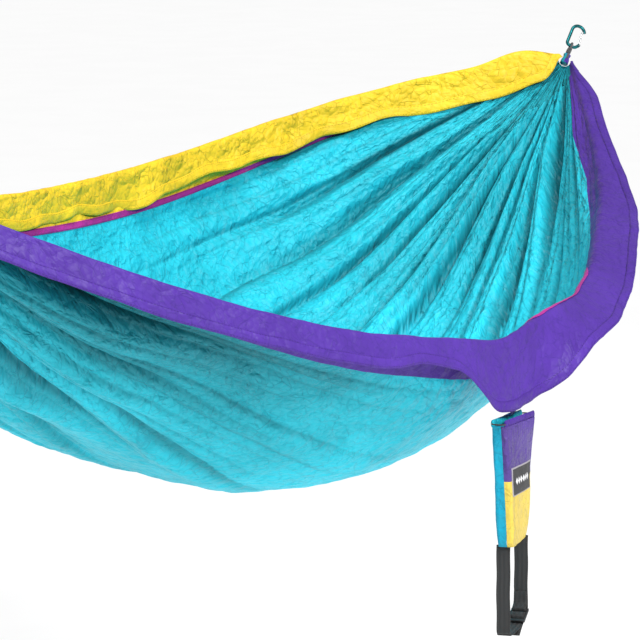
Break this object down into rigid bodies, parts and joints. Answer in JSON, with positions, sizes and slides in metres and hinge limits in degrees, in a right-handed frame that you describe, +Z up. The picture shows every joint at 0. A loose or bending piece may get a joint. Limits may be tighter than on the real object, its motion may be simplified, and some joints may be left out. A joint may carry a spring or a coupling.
{
  "type": "camping hammock",
  "caption": "Gathered-end nylon hammock with a wide centre panel and coloured side panels, rope loops and wire-gate carabiners at its ends, and a stuff sack with a strap at its edge.",
  "frame": {"origin": "the seat of the hanging strap in the top bow of the right-hand carabiner", "axes": "+X along the ridge line, outwards past the right-hand end; +Z up; the stuff sack hangs on the -Y side"},
  "size_m": [2.5087, 1.1077, 0.975],
  "materials": {
    "ripstop_teal": "satin ripstop nylon",
    "ripstop_purple": "satin ripstop nylon",
    "ripstop_yellow": "satin ripstop nylon",
    "seam_magenta": "stitched nylon",
    "rope_dark": "braided polyester",
    "cord_black": "braided cord",
    "anodised_teal": "anodised, satin",
    "gate_wire": "polished wire",
    "webbing_grey": "woven nylon webbing",
    "plastic_black": "moulded acetal",
    "spring_steel": "drawn wire",
    "label_grey": "woven patch"
  },
  "bodies": {
    "hammock": {"main_panel": "ripstop_teal", "near_side_panel": "ripstop_purple", "far_side_panel": "ripstop_yellow", "near_seam": "seam_magenta", "far_seam": "seam_magenta", "near_hem": "ripstop_purple", "far_hem": "ripstop_yellow", "end_gather_right": "ripstop_teal", "end_gather_left": "ripstop_teal", "rope_loop_right": "rope_dark", "rope_loop_left": "rope_dark", "whipping_right": "rope_dark", "whipping_left": "rope_dark"},
    "carabiner_right": {"carabiner_right": "anodised_teal"},
    "gate_right": {"gate_right": "gate_wire"},
    "carabiner_left": {"carabiner_left": "anodised_teal"},
    "gate_left": {"gate_left": "gate_wire"},
    "sack": {"sack_front_upper": "ripstop_purple", "sack_front_lower": "ripstop_yellow", "sack_back": "ripstop_teal", "mouth_channel_front": "ripstop_purple", "mouth_channel_back": "ripstop_teal", "drawcord": "cord_black", "hanging_tab": "webbing_grey", "sack_label": "label_grey", "drawcord_tail": "cord_black", "drawcord_knot": "cord_black"},
    "strap": {"strap_long": "webbing_grey", "strap_short": "webbing_grey", "ladder_lock": "plastic_black"},
    "cord_lock": {"cord_lock_barrel": "plastic_black", "cord_lock_spring": "spring_steel"},
    "cord_lock_button": {"cord_lock_button": "plastic_black"}
  },
  "joints": [
    {"name": "carabiner_swing_right", "type": "hinge", "parent": "hammock", "child": "carabiner_right", "pos_m": [-0.03175, 0.0023, -0.03373], "axis": [0.5781, -0.6561, -0.4851], "range_deg": [-65, 65]},
    {"name": "gate_hinge_right", "type": "hinge", "parent": "carabiner_right", "child": "gate_right", "pos_m": [-0.01831, -0.00688, -0.03414], "axis": [-0.5026, -0.7547, 0.4217], "range_deg": [0, 27], "stiffness_Nm_per_rad": 0.3, "springref_deg": -17.19},
    {"name": "carabiner_swing_left", "type": "hinge", "parent": "hammock", "child": "carabiner_left", "pos_m": [-2.46032, 0.0023, -0.03373], "axis": [-0.5781, -0.6561, -0.4851], "range_deg": [-65, 65]},
    {"name": "gate_hinge_left", "type": "hinge", "parent": "carabiner_left", "child": "gate_left", "pos_m": [-2.47376, -0.00688, -0.03414], "axis": [-0.5026, 0.7547, -0.4217], "range_deg": [0, 27], "stiffness_Nm_per_rad": 0.3, "springref_deg": -17.19},
    {"name": "sack_swing", "type": "hinge", "parent": "hammock", "child": "sack", "pos_m": [-1.24604, -0.58192, -0.57398], "axis": [1, 0, 0], "range_deg": [-40, 30]},
    {"name": "strap_swing", "type": "hinge", "parent": "sack", "child": "strap", "pos_m": [-1.24604, -0.58192, -0.81278], "axis": [0.9703, 0.2419, 0], "range_deg": [-55, 55]},
    {"name": "cord_lock_slide", "type": "slide", "parent": "sack", "child": "cord_lock", "axis": [0, 0, 1], "range_m": [-0.011, 0.01]},
    {"name": "cord_lock_press", "type": "slide", "parent": "cord_lock", "child": "cord_lock_button", "axis": [-0.9703, -0.2419, 0], "range_m": [0, 0.0025], "stiffness_N_per_m": 400, "springref_m": -0.002}
  ]
}
